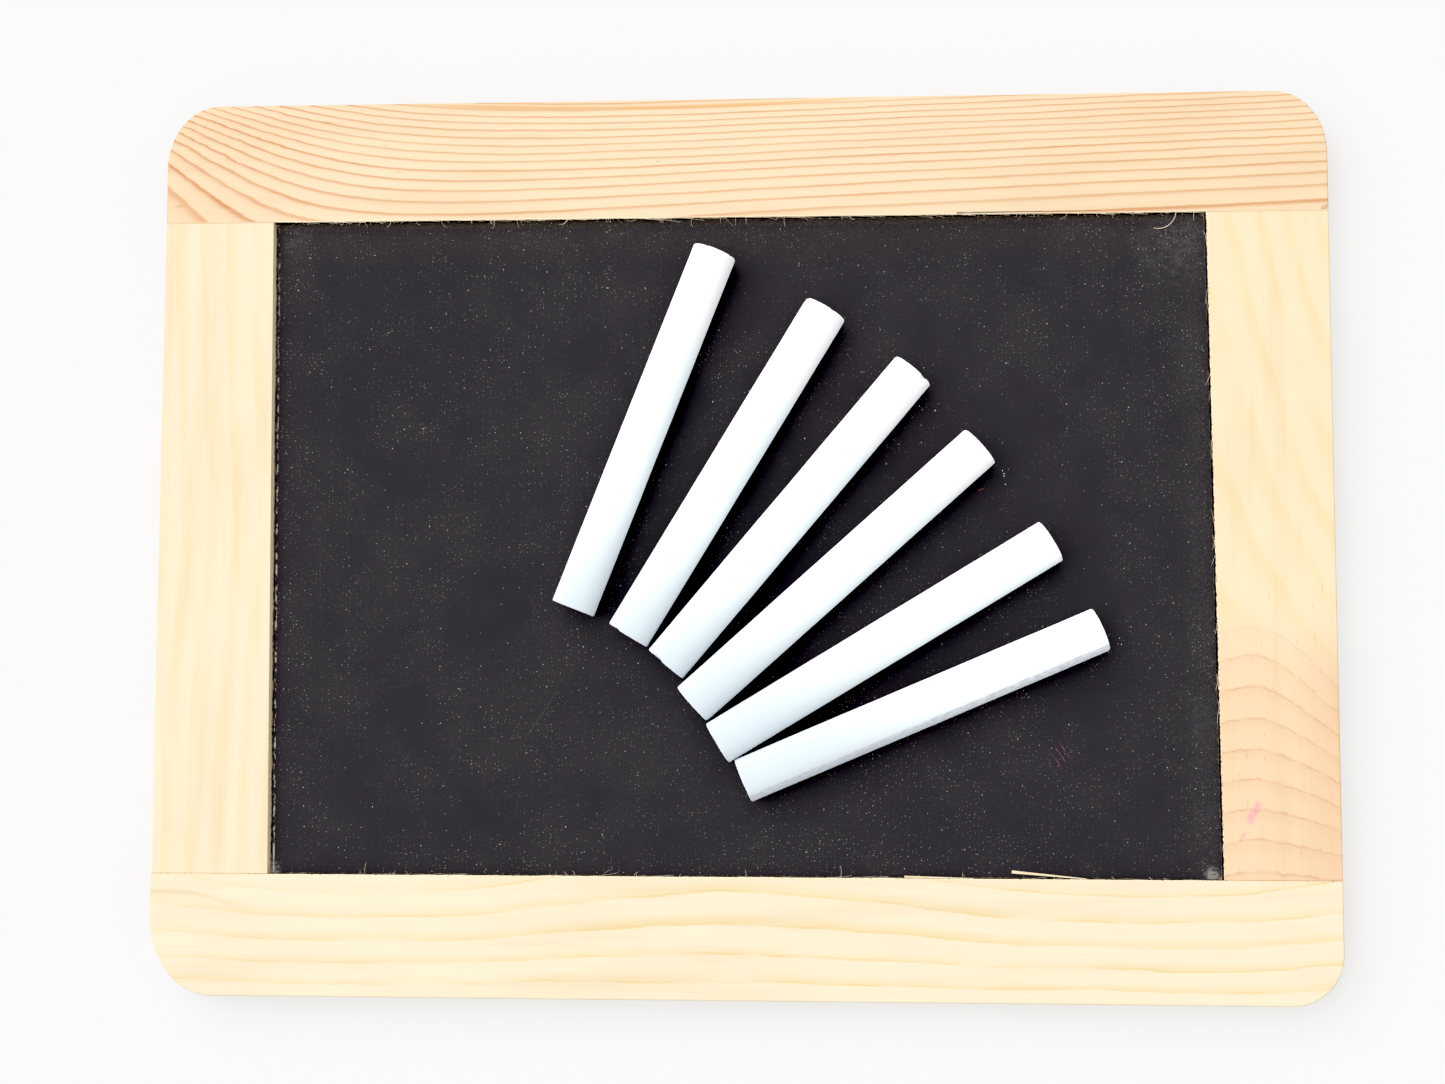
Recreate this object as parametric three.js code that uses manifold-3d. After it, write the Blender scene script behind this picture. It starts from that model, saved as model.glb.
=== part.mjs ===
// A small wood-framed writing slate with six sticks of chalk lying on it.
//
// Two full-width rails and two stiles make the frame. A groove runs along every inner edge: it holds the
// board all round, and at the corners it takes the stub tenons of the stiles. A brad through each tenon,
// driven from the back, pins the corner.
//
// Millimetres. +X runs along the rails, +Y points up the board and +Z points out of the writing face.
// The origin is the middle of the back of the frame.

import * as THREE from "three";
import { mergeVertices } from "three/addons/utils/BufferGeometryUtils.js";
import Module from "manifold-3d";

const wasm = await Module();
wasm.setup();

// Frame
const frameWidth = 246;
const frameHeight = 189;
const frameDepth = 8;
const topRailWidth = 25.5;
const bottomRailWidth = 25.2;
const leftStileWidth = 24.1; // at mid height
const rightStileWidth = 24.5;
const stileLean = 1.4; // how far each stile's inner edge drifts to the right on its way down

// How far each rounded corner reaches along its rail, and how far along the rail's end
const topCorner = [11, 13.2];
const bottomRightCorner = [10.6, 10.6];
const bottomLeftCorner = [13.2, 16.1]; // sanded rounder than the others

// Groove and tenons
const grooveDepth = 6;
const grooveWidth = 3.2;
const grooveBack = 2.5; // height of the groove's back wall
const tenonGap = 0.1; // on each face of a tenon
const tenonEndGap = 0.3;

// Board
const boardThickness = 3;
const boardGap = 0.3; // from the bottoms of the grooves
const coatThickness = 0.2;
const coatGap = 0.3; // from the frame all round
const coatFront = grooveBack + tenonGap + boardThickness + coatThickness;

// Corner brads
const bradHeadRadius = 1.3;
const bradHeadThickness = 0.6;
const bradRadius = 0.7;
const bradPoint = 1.2;
const bradLength = 6.2;
const bradSink = 0.1; // the heads lie just under the back of the frame
const bradHoleGap = 0.15;
const bradInset = 9.5; // from the side edge of the frame

// Chalk
const chalkRadius = 4.65;
const chalkEdge = 0.6;
const chalkRest = 0.02; // keeps each stick just clear of the board
const chalkSides = 24;

// Each stick's length, and where it lies: the middle of its lower end, and its heading from +X in degrees
const chalkSticks = [
  { x: -34.3, y: -14.2, heading: 68.4, length: 81.0 },
  { x: -22.9, y: -19.9, heading: 58.7, length: 80.4 },
  { x: -15.1, y: -25.9, heading: 49.8, length: 80.8 },
  { x: -9.6, y: -34.2, heading: 41.9, length: 81.1 },
  { x: -4.2, y: -42.1, heading: 31.4, length: 81.1 },
  { x: 1.2, y: -49.7, heading: 23.2, length: 80.2 },
];

const halfWidth = frameWidth / 2;
const openingTop = frameHeight / 2 - topRailWidth;
const openingBottom = bottomRailWidth - frameHeight / 2;
const openingMiddle = (openingTop + openingBottom) / 2;
const arcSteps = 10;
const past = 2; // how far a cutter runs beyond the faces that it cuts

const finishes = {
  warmPine: { color: 0xf6dcb4, roughness: 0.62, metalness: 0 },
  palePine: { color: 0xfbeccb, roughness: 0.62, metalness: 0 },
  hardboard: { color: 0xb98e5d, roughness: 0.8, metalness: 0 },
  slatePaint: { color: 0x3a373b, roughness: 0.85, metalness: 0 },
  steel: { color: 0xa9aaac, roughness: 0.35, metalness: 1 },
  chalk: { color: 0xf6f7f6, roughness: 0.95, metalness: 0 },
};

// A closed geometry as a manifold solid, with only its shared corner positions.
function toSolid(geometry) {
  const bare = geometry.clone();
  bare.deleteAttribute("normal");
  bare.deleteAttribute("uv");
  const merged = mergeVertices(bare, 1e-5);
  return new wasm.Manifold(
    new wasm.Mesh({
      numProp: 3,
      vertProperties: new Float32Array(merged.attributes.position.array),
      triVerts: new Uint32Array(merged.index.array),
    }),
  );
}

// A solid as a geometry with its own corners on every face, so that the faces shade flat.
function toGeometry(solid) {
  const mesh = solid.getMesh();
  const shared = new THREE.BufferGeometry();
  shared.setAttribute("position", new THREE.BufferAttribute(mesh.vertProperties, 3));
  shared.setIndex(new THREE.BufferAttribute(mesh.triVerts, 1));
  const geometry = shared.toNonIndexed();
  geometry.computeVertexNormals();
  return geometry;
}

// A flat outline given depth from one height to another.
function slab(shape, bottom, top) {
  const settings = { depth: top - bottom, bevelEnabled: false, curveSegments: arcSteps };
  return new THREE.ExtrudeGeometry(shape, settings).translate(0, 0, bottom);
}

function polygon(corners) {
  return new THREE.Shape(corners.map(([x, y]) => new THREE.Vector2(x, y)));
}

function piece(name, geometry, finish) {
  const mesh = new THREE.Mesh(geometry, new THREE.MeshStandardMaterial(finishes[finish]));
  mesh.name = name;
  return mesh;
}

// Where the inner edge of a stile is at a height on the board. Side is -1 on the left and 1 on the right.
function innerEdge(side, y) {
  const stileWidth = side < 0 ? leftStileWidth : rightStileWidth;
  const drift = (stileLean * (openingMiddle - y)) / (openingTop - openingBottom);
  return side * (halfWidth - stileWidth) + drift;
}

// The band between two lines that follow a stile's inner edge, each set off from it towards the frame.
function edgeBand(side, from, to, bottom, top) {
  return polygon([
    [innerEdge(side, bottom) + side * from, bottom],
    [innerEdge(side, top) + side * from, top],
    [innerEdge(side, top) + side * to, top],
    [innerEdge(side, bottom) + side * to, bottom],
  ]);
}

// Side is -1 on the left and 1 on the right; end is 1 at the top rail and -1 at the bottom rail.
const corners = [
  { name: "corner_brad_top_left", side: -1, end: 1 },
  { name: "corner_brad_top_right", side: 1, end: 1 },
  { name: "corner_brad_bottom_right", side: 1, end: -1 },
  { name: "corner_brad_bottom_left", side: -1, end: -1 },
];

// A brad standing on its head at a corner. Grown by a gap and run out past the back, it is its own hole.
function brad({ side, end }, gap, start) {
  const headTop = bradSink + bradHeadThickness + gap;
  const tip = bradSink + bradLength + gap;
  const profile = [
    [0, start],
    [bradHeadRadius + gap, start],
    [bradHeadRadius + gap, headTop],
    [bradRadius + gap, headTop],
    [bradRadius + gap, tip - bradPoint],
    [0, tip],
  ];
  const joint = end > 0 ? openingTop : openingBottom;
  return new THREE.LatheGeometry(profile.map(([r, z]) => new THREE.Vector2(r, z)), 16)
    .rotateX(Math.PI / 2)
    .translate(side * (halfWidth - bradInset), joint + (end * grooveDepth) / 2, 0);
}

const bradHoles = wasm.Manifold.union(corners.map((corner) => toSolid(brad(corner, bradHoleGap, -past))));

// A rail with its inner edge on y = 0 and its outer edge up.
function rail(width, [leftReach, leftDrop], [rightReach, rightDrop]) {
  const outline = new THREE.Shape();
  outline.moveTo(-halfWidth, 0);
  outline.lineTo(halfWidth, 0);
  outline.absellipse(halfWidth - rightReach, width - rightDrop, rightReach, rightDrop, 0, Math.PI / 2);
  outline.absellipse(leftReach - halfWidth, width - leftDrop, leftReach, leftDrop, Math.PI / 2, Math.PI);
  const groove = polygon([
    [-halfWidth - past, -past],
    [halfWidth + past, -past],
    [halfWidth + past, grooveDepth],
    [-halfWidth - past, grooveDepth],
  ]);
  const bar = toSolid(slab(outline, 0, frameDepth));
  return bar.subtract(toSolid(slab(groove, grooveBack, grooveBack + grooveWidth)));
}

function topRail() {
  const solid = rail(topRailWidth, topCorner, topCorner).translate([0, openingTop, 0]);
  return piece("top_rail", toGeometry(solid.subtract(bradHoles)), "warmPine");
}

// The bottom rail is the same bar turned half a turn, so its left end is the bar's right end.
function bottomRail() {
  const bar = rail(bottomRailWidth, bottomRightCorner, bottomLeftCorner);
  const solid = bar.rotate([0, 0, 180]).translate([0, openingBottom, 0]);
  return piece("bottom_rail", toGeometry(solid.subtract(bradHoles)), "palePine");
}

// A stile fills the height between the rails, and its thinner tenons reach on into their grooves.
function stile(name, side, finish) {
  const width = side < 0 ? leftStileWidth : rightStileWidth;
  const reach = grooveDepth - tenonEndGap;
  const body = (bottom, top) =>
    polygon([
      [side * halfWidth, bottom],
      [side * halfWidth, top],
      [innerEdge(side, top), top],
      [innerEdge(side, bottom), bottom],
    ]);
  const bar = toSolid(slab(body(openingBottom, openingTop), 0, frameDepth));
  const tongue = toSolid(
    slab(
      body(openingBottom - reach, openingTop + reach),
      grooveBack + tenonGap,
      grooveBack + grooveWidth - tenonGap,
    ),
  );
  const groove = edgeBand(side, grooveDepth, -width, openingBottom - width, openingTop + width);
  const cut = toSolid(slab(groove, grooveBack, grooveBack + grooveWidth));
  return piece(name, toGeometry(bar.add(tongue).subtract(cut).subtract(bradHoles)), finish);
}

// The board is a plain rectangle, so the leaning stiles leave it some play at two of its corners.
function backingBoard() {
  const left = innerEdge(-1, openingBottom) - grooveDepth + boardGap;
  const right = innerEdge(1, openingTop) + grooveDepth - boardGap;
  const bottom = openingBottom - grooveDepth + boardGap;
  const top = openingTop + grooveDepth - boardGap;
  const outline = polygon([[left, bottom], [right, bottom], [right, top], [left, top]]);
  const back = grooveBack + tenonGap;
  return piece("backing_board", slab(outline, back, back + boardThickness), "hardboard");
}

// The slate paint covers the face of the board inside the frame.
function writingSurface() {
  const bottom = openingBottom + coatGap;
  const top = openingTop - coatGap;
  const outline = polygon([
    [innerEdge(-1, bottom) + coatGap, bottom],
    [innerEdge(1, bottom) - coatGap, bottom],
    [innerEdge(1, top) - coatGap, top],
    [innerEdge(-1, top) + coatGap, top],
  ]);
  return piece("writing_surface", slab(outline, coatFront - coatThickness, coatFront), "slatePaint");
}

// A stick of chalk lying on the board, with its edges just broken.
function chalkStick({ x, y, heading, length }, index) {
  const half = length / 2;
  const profile = [
    [0, -half],
    [chalkRadius - chalkEdge, -half],
    [chalkRadius, chalkEdge - half],
    [chalkRadius, half - chalkEdge],
    [chalkRadius - chalkEdge, half],
    [0, half],
  ];
  const points = profile.map(([r, along]) => new THREE.Vector2(r, along));
  const stick = piece(`chalk_stick_${index + 1}`, new THREE.LatheGeometry(points, chalkSides), "chalk");
  const turn = THREE.MathUtils.degToRad(heading);
  const axisHeight = coatFront + chalkRest + chalkRadius;
  stick.position.set(x + half * Math.cos(turn), y + half * Math.sin(turn), axisHeight);
  stick.rotation.z = turn - Math.PI / 2;
  return stick;
}

const slate = new THREE.Group();
slate.add(topRail(), bottomRail());
slate.add(stile("left_stile", -1, "palePine"), stile("right_stile", 1, "palePine"));
slate.add(backingBoard(), writingSurface());
slate.add(...corners.map((corner) => piece(corner.name, brad(corner, 0, bradSink), "steel")));

const group = new THREE.Group();
group.add(slate, ...chalkSticks.map(chalkStick));

export default group;
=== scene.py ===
import math
import random

import bmesh
import bpy
from mathutils import Matrix, Vector, noise


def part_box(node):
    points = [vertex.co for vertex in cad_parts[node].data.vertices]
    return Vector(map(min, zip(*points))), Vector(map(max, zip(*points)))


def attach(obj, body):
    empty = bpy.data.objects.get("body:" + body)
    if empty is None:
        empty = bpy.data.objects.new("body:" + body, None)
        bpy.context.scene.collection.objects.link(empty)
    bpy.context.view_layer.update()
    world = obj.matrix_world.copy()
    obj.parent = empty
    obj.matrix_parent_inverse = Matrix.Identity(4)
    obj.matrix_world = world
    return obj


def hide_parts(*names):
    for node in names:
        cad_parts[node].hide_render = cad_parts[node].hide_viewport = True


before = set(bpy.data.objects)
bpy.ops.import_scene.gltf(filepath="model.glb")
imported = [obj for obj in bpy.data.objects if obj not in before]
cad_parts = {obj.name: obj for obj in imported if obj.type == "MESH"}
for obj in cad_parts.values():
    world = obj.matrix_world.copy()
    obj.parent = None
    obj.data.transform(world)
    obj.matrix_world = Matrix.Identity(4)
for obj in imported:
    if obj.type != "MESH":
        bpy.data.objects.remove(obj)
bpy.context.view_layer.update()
mm = 0.001


# a wire is a socket that can be used in sums: each sum adds its own Math node
class Wire:
    def __init__(self, finish, socket):
        self.finish = finish
        self.socket = socket

    def __add__(self, other):
        return self.finish.sum("ADD", self, other)

    def __sub__(self, other):
        return self.finish.sum("SUBTRACT", self, other)

    def __rsub__(self, other):
        return self.finish.sum("SUBTRACT", other, self)

    def __mul__(self, other):
        return self.finish.sum("MULTIPLY", self, other)

    def __truediv__(self, other):
        return self.finish.sum("DIVIDE", self, other)

    def __pow__(self, other):
        return self.finish.sum("POWER", self, other)

    def __abs__(self):
        return self.finish.sum("ABSOLUTE", self)

    __radd__ = __add__
    __rmul__ = __mul__


# a material being mixed, with its nodes added one by one
class Finish:
    def __init__(self, name):
        self.material = bpy.data.materials.new(name)
        self.material.use_nodes = True
        self.tree = self.material.node_tree
        self.shader = self.tree.nodes["Principled BSDF"]
        self.place = self.add("ShaderNodeTexCoord", {}, {}, "Object")
        self.xyz = [self.add("ShaderNodeSeparateXYZ", {}, {0: self.place}, axis) * 1000 for axis in range(3)]

    # any node: its settings first, then the values or wires of its sockets
    def add(self, kind, settings, inputs, output=0):
        node = self.tree.nodes.new(kind)
        for key, value in settings.items():
            setattr(node, key, value)
        for key, value in inputs.items():
            self.feed(node.inputs[key], value)
        return Wire(self, node.outputs[output])

    def feed(self, socket, value):
        if isinstance(value, Wire):
            self.tree.links.new(value.socket, socket)
        elif isinstance(value, tuple) and socket.type == "RGBA":
            socket.default_value = (*value, 1)
        else:
            socket.default_value = value

    def sum(self, operation, first, second=0.0):
        return self.add("ShaderNodeMath", {"operation": operation}, {0: first, 1: second})

    # 0 at low, 1 at high, smooth between; low may be above high
    def rise(self, value, low, high):
        inputs = {"Value": value, "From Min": low, "From Max": high}
        return self.add("ShaderNodeMapRange", {"interpolation_type": "SMOOTHSTEP"}, inputs)

    def mix(self, factor, first, second, how="MIX"):
        settings = {"data_type": "RGBA", "blend_type": how}
        return self.add("ShaderNodeMix", settings, {0: factor, 6: first, 7: second}, 2)

    # a value from 0 to 1 picked at random for each whole number
    def pick(self, number):
        whole = self.sum("FLOOR", number)
        return self.add("ShaderNodeTexWhiteNoise", {"noise_dimensions": "1D"}, {"W": whole})

    # noise stretched by its size in millimetres along each axis
    def noise(self, size, detail=2.0, rough=0.5, seed=0.0):
        scale = tuple(1 / (one * mm) for one in size)
        place = self.add("ShaderNodeVectorMath", {"operation": "MULTIPLY"}, {0: self.place, 1: scale})
        inputs = {"Vector": place, "W": seed, "Scale": 1.0, "Detail": detail, "Roughness": rough}
        return self.add("ShaderNodeTexNoise", {"noise_dimensions": "4D"}, inputs)

    # small round spots of a radius on a share of the cells; flat spots all lie in one plane
    def spots(self, size, radius, share, seed=0.0, stretch=(1, 1, 1), flat=False):
        scale = tuple(1 / (size * one * mm) for one in stretch)
        inputs = {0: self.place, 1: scale, 2: (seed, seed, 0.5)}
        place = self.add("ShaderNodeVectorMath", {"operation": "MULTIPLY_ADD"}, inputs)
        cells = {"Vector": place, "Scale": 1.0, "Randomness": 1.0}
        kind = {"voronoi_dimensions": "2D" if flat else "3D"}
        away = self.add("ShaderNodeTexVoronoi", kind, cells, "Distance")
        shade = self.add("ShaderNodeTexVoronoi", kind, cells, "Color")
        pick = self.add("ShaderNodeSeparateColor", {}, {0: shade}, 0)
        spread = self.add("ShaderNodeSeparateColor", {}, {0: shade}, 1) * 0.6 + 0.4
        return self.rise(away / spread, radius, radius * 0.4) * self.sum("LESS_THAN", pick, share)

    # how near a place is to a point on the face: 1 at the point, 0 at the radius
    def blot(self, x, y, radius):
        across, up = self.xyz[0] - x, self.xyz[1] - y
        return self.rise(self.sum("SQRT", across * across + up * up), radius, radius * 0.25)

    # several blots with a strength each
    def blots(self, places):
        return sum(self.blot(x, y, radius) * strength for x, y, radius, strength in places)

    # how much a place lies on a straight stroke: 1 on it, 0 beside it and past its ends
    def stroke(self, x, y, heading, length, width):
        turn = math.radians(heading)
        across, up = self.xyz[0] - x, self.xyz[1] - y
        along = across * math.cos(turn) + up * math.sin(turn)
        aside = across * math.sin(turn) - up * math.cos(turn)
        near = self.rise(abs(aside), width * 0.5, width * 0.1)
        return near * self.rise(abs(along), length * 0.5, length * 0.3)

    def bump(self, height, strength, distance):
        inputs = {"Strength": strength, "Distance": distance * mm, "Height": height}
        self.feed(self.shader.inputs["Normal"], self.add("ShaderNodeBump", {}, inputs))

    def set(self, **values):
        for key, value in values.items():
            self.feed(self.shader.inputs[key.replace("_", " ")], value)


# the two straight joints, the side edge and the face of the frame, in millimetres
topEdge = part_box("top_rail")[0].y / mm
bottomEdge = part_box("bottom_rail")[1].y / mm
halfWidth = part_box("top_rail")[1].x / mm
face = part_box("top_rail")[1].z / mm

pine = {
    "warm": (0.70, 0.556, 0.385), "warmLine": (0.81, 0.55, 0.385), "warmEnd": (0.68, 0.520, 0.345),
    "palest": (0.70, 0.611, 0.457), "pale": (0.70, 0.602, 0.440), "honey": (0.70, 0.588, 0.410),
    "creamLine": (0.665, 0.525, 0.280), "peach": (0.685, 0.505, 0.327), "peachLine": (0.57, 0.32, 0.185),
    "pore": (0.26, 0.15, 0.08), "endGrain": (0.80, 0.66, 0.50), "wallPaintedLight": (0.98, 0.84, 0.58),
    "paint": (0.030, 0.027, 0.030), "joint": (0.70, 0.48, 0.34), "roughness": 0.55, "sheen": 0.30,
}


# Streaks, pores and sheen shared by every piece of pine. Along is 0 for grain on X and 1 for grain on Y.
# Wall is the distance back from the opening, and the wall is made paler than the face: painted light that
# lifts the shade it stands in. Slate paint has run up that wall from the board to the bleed.
def finishPine(finish, colour, lines, along, seed, wall, bleed, joint):
    long, thin = 22.0, 0.28
    size = (long, thin, thin) if along == 0 else (thin, long, thin)
    streaks = finish.noise(size, 3.0, 0.6, seed)
    cloud = finish.noise(tuple(9 * one ** 0.5 for one in size), 2.0, 0.5, seed + 3)
    colour = finish.mix(finish.rise(streaks, 0.5, 0.72) * 0.10, colour, pine["creamLine"], "MULTIPLY")
    colour = finish.mix(finish.rise(cloud, 0.45, 0.7) * 0.12, colour, pine["creamLine"], "MULTIPLY")
    stretch = (3.0, 1, 1) if along == 0 else (1, 3.0, 1)
    pores = finish.spots(6.0, 0.04, 0.14, seed, stretch)
    colour = finish.mix(pores * 0.6, colour, pine["pore"])
    colour = finish.mix(joint * 0.8, colour, pine["joint"], "MULTIPLY")
    ragged = finish.noise((0.9, 0.9, 2.0), 3.0, 0.7, seed + 5) - 0.5
    height = finish.xyz[2] + ragged * 1.6
    sawn = finish.rise(wall, 0.12, 0.05)
    painted = sawn * finish.rise(height, bleed + 0.1, bleed - 0.1) * finish.rise(height, 3, 4)
    # painted light: the wall of the opening is made paler than the face, to lift the shade it stands in
    colour = finish.mix(sawn, colour, pine["wallPaintedLight"])
    colour = finish.mix(painted, colour, pine["paint"])
    finish.set(Base_Color=colour, Roughness=pine["roughness"] + streaks * 0.12 - lines * 0.06)
    finish.shader.inputs["Specular IOR Level"].default_value = pine["sheen"]
    finish.bump(streaks * 0.5 - lines * 0.6 - pores, 0.3, 0.05)
    return finish.material


# a growth line: it builds up slowly through the ring and stops short
def growthLine(finish, rings, soft, sharp):
    part = finish.sum("FRACT", rings)
    return finish.rise(part, 1 - soft - sharp, 1 - sharp) * finish.rise(part, 1.0, 1 - sharp)


# the sawn ends of a rail are darker than its face
def endGrain(finish, colour):
    sawn = finish.rise(abs(finish.xyz[0]), halfWidth - 0.25, halfWidth - 0.05)
    return finish.mix(sawn * 0.55, colour, pine["endGrain"], "MULTIPLY")


# The top rail's rings: how the lines tilt and bend on their way to the right, how they fan down at the left
# end, and how many of them there are to a millimetre.
topRings = {
    "tilt": -7.89, "bend": 3.68, "curl": -1.02, "spread": 0.015,
    "fan": 3.33, "fanLength": -0.764, "fanEnd": -0.008, "fanBow": -0.072, "fanTurn": 0.181,
    "number": 0.39, "closing": 0.0108, "first": 21.735,
}
topMarks = {"line": (0.64, 0.36, 0.14), "resin": (0.50, 0.26, 0.08), "chip": (0.42, 0.18, 0.07)}


def topRailPine():
    finish = Finish("pineTopRail")
    x, y, z = finish.xyz
    wander = finish.noise((30, 4, 4), 2.0, 0.5, 4.0) - 0.5
    tremble = finish.noise((5, 1.6, 3), 3.0, 0.6, 14.0) - 0.5
    along = x + halfWidth
    leftEnd = finish.rise(along, 46, 4)
    up = y - topEdge + wander * 0.7 + tremble * (0.35 + leftEnd * 0.9) + (z - face) * 0.55
    far = (along - 80) / 100
    near = along / 25
    across = (up - 13) / 12
    bent = topRings["tilt"] + far * topRings["bend"] + far * far * topRings["curl"]
    drift = far * (bent + (up - 12) * topRings["spread"])
    fan = topRings["fan"] + near * (topRings["fanLength"] + near * topRings["fanEnd"])
    fan = fan + across * (0.01 + across * topRings["fanBow"] + near * topRings["fanTurn"])
    level = up + drift - finish.sum("EXPONENT", fan)
    rings = level * (topRings["number"] + level * topRings["closing"]) + topRings["first"]
    rightEnd = finish.rise(along, 120, 225)
    line = growthLine(finish, rings, 0.24, 0.12)
    band = growthLine(finish, rings, 0.62, 0.08)
    year = finish.pick(rings)
    fade = finish.noise((26, 3, 3), 2.0, 0.6, 9.0)
    line = line * (0.45 + year * 0.45 + finish.rise(fade, 0.3, 0.7) * 0.25)
    colour = finish.mix(rightEnd * 0.6, pine["warm"], pine["warmEnd"])
    colour = finish.mix(leftEnd * 0.55, colour, pine["peach"])
    colour = finish.mix(band * (0.12 + leftEnd * 0.22), colour, pine["warmLine"], "MULTIPLY")
    colour = finish.mix(line, colour, pine["warmLine"], "MULTIPLY")
    # one thick orange line bows along the outer edge, and short resin streaks lie in the left end
    bow = abs(y - 92.8 - (x + 22) * (x + 22) * 0.00062) + wander
    thick = finish.rise(bow, 0.52, 0.08) * finish.rise(abs(x + 22), 62, 26)
    resin = finish.spots(7.0, 0.11, 0.30, 4.0, (2.2, 0.5, 1), True) * finish.rise(along, 70, 30)
    colour = finish.mix(thick * 0.75, colour, topMarks["line"])
    colour = finish.mix(resin * 0.45, colour, topMarks["resin"])
    chip = finish.blot(122.3, topEdge + 0.3, 1.3) * finish.rise(finish.noise((0.5, 0.5, 0.5)), 0.4, 0.55)
    colour = finish.mix(chip * 0.7, colour, topMarks["chip"])
    joint = finish.rise(y - topEdge, 0.24, 0.04) * finish.rise(abs(x), 98, 99)
    return finishPine(finish, endGrain(finish, colour), line, 0, 11.0, y - topEdge, 7.3, joint)


brownCurl = (0.60, 0.43, 0.24)


def bottomRailPine():
    finish = Finish("pineBottomRail")
    x, y, z = finish.xyz
    wave = finish.noise((30, 20, 60), 2.0, 0.45, 7.0) - 0.5
    # the rings dip at both sides and rise in the middle, more so near the opening
    swing = finish.sum("COSINE", x * (2 * math.pi / 160)) * (1.15 + (y + 86.9) * 0.15)
    tremble = finish.noise((7, 1.8, 4), 3.0, 0.6, 19.0) - 0.5
    down = bottomEdge - y + swing + wave * 2.6 + tremble * 0.9 + (face - z) * 0.4
    rings = down * 0.157 + down * down * 0.0013 + 4.9
    soft = growthLine(finish, rings, 0.40, 0.10)
    sharp = growthLine(finish, rings, 0.08, 0.05)
    vary = finish.noise((26, 3.5, 5), 2.0, 0.5, 2.0)
    thin = finish.noise((12, 2.0, 5), 2.0, 0.5, 5.0)
    year = finish.pick(rings)
    line = soft * (0.28 + year * 0.36) + sharp * finish.rise(thin, 0.34, 0.58) * 0.95
    line = line * finish.rise(vary, 0.22, 0.58) * (0.75 + finish.rise(x, -100, -10) * 0.45)
    colour = finish.mix(line * 0.85, pine["palest"], pine["creamLine"])
    # a brown curl by the joint at the left end
    hook = abs(y + 73.0 + finish.rise(x, -116, -100) * 3.4 + wave * 2 + tremble)
    curl = finish.rise(hook, 0.9, 0.1) * finish.rise(x, -96, -116)
    colour = finish.mix(curl * 0.38, colour, brownCurl)
    joint = finish.rise(bottomEdge - y, 0.24, 0.04) * finish.rise(abs(x), 97.5, 98.5)
    return finishPine(finish, endGrain(finish, colour), line, 0, 23.0, bottomEdge - y, 7.85, joint)


# across a stile, out from its leaning inner edge
def stileOut(finish, side):
    x, y = finish.xyz[:2]
    inner = innerEdge(side)
    middle = inner(0) / mm
    slope = (inner(0.01) - inner(0)) / 0.01
    return (x - middle - y * slope) * side


def stileJoint(finish):
    y = finish.xyz[1]
    return finish.rise(topEdge - y, 0.24, 0.04) + finish.rise(y - bottomEdge, 0.24, 0.04)


def leftStilePine():
    finish = Finish("pineLeftStile")
    x, y, z = finish.xyz
    wave = finish.noise((20, 34, 60), 2.0, 0.45, 17.0) - 0.5
    out = stileOut(finish, -1)
    # the rings bulge towards the opening a third of the way down
    bulge = finish.sum("EXPONENT", (y - 9) * (y - 9) / -1024)
    tremble = finish.noise((1.6, 9, 4), 3.0, 0.6, 39.0) - 0.5
    across = out + bulge * 3.4 - (topEdge - y) * 0.012 + wave * 3.2 + tremble * 0.8 + (face - z) * 0.5
    rings = across * 0.185 + 5.0
    soft = growthLine(finish, rings, 0.5, 0.2)
    thin = growthLine(finish, rings, 0.12, 0.08)
    vary = finish.noise((4, 40, 5), 2.0, 0.5, 31.0)
    shown = finish.rise(vary, 0.34, 0.62)
    line = (soft * 0.65 + thin * 0.35) * (0.15 + shown * 0.85)
    colour = finish.mix(line * 0.62, pine["pale"], pine["creamLine"])
    outer = finish.rise(out, 20, 23.5) * finish.rise(y, 0, 50)
    colour = finish.mix(outer * 0.25, colour, pine["peach"])
    return finishPine(finish, colour, line, 1, 41.0, out, 5.6, stileJoint(finish))


# a smear is its middle, heading, length and width
footMarks = {
    "tick": (0.56, 0.30, 0.10), "pink": (0.74, 0.20, 0.40),
    "smears": ((105.4, -55.6, 62, 6.0, 2.4), (103.0, -60.4, 55, 2.6, 0.9)),
}


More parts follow.
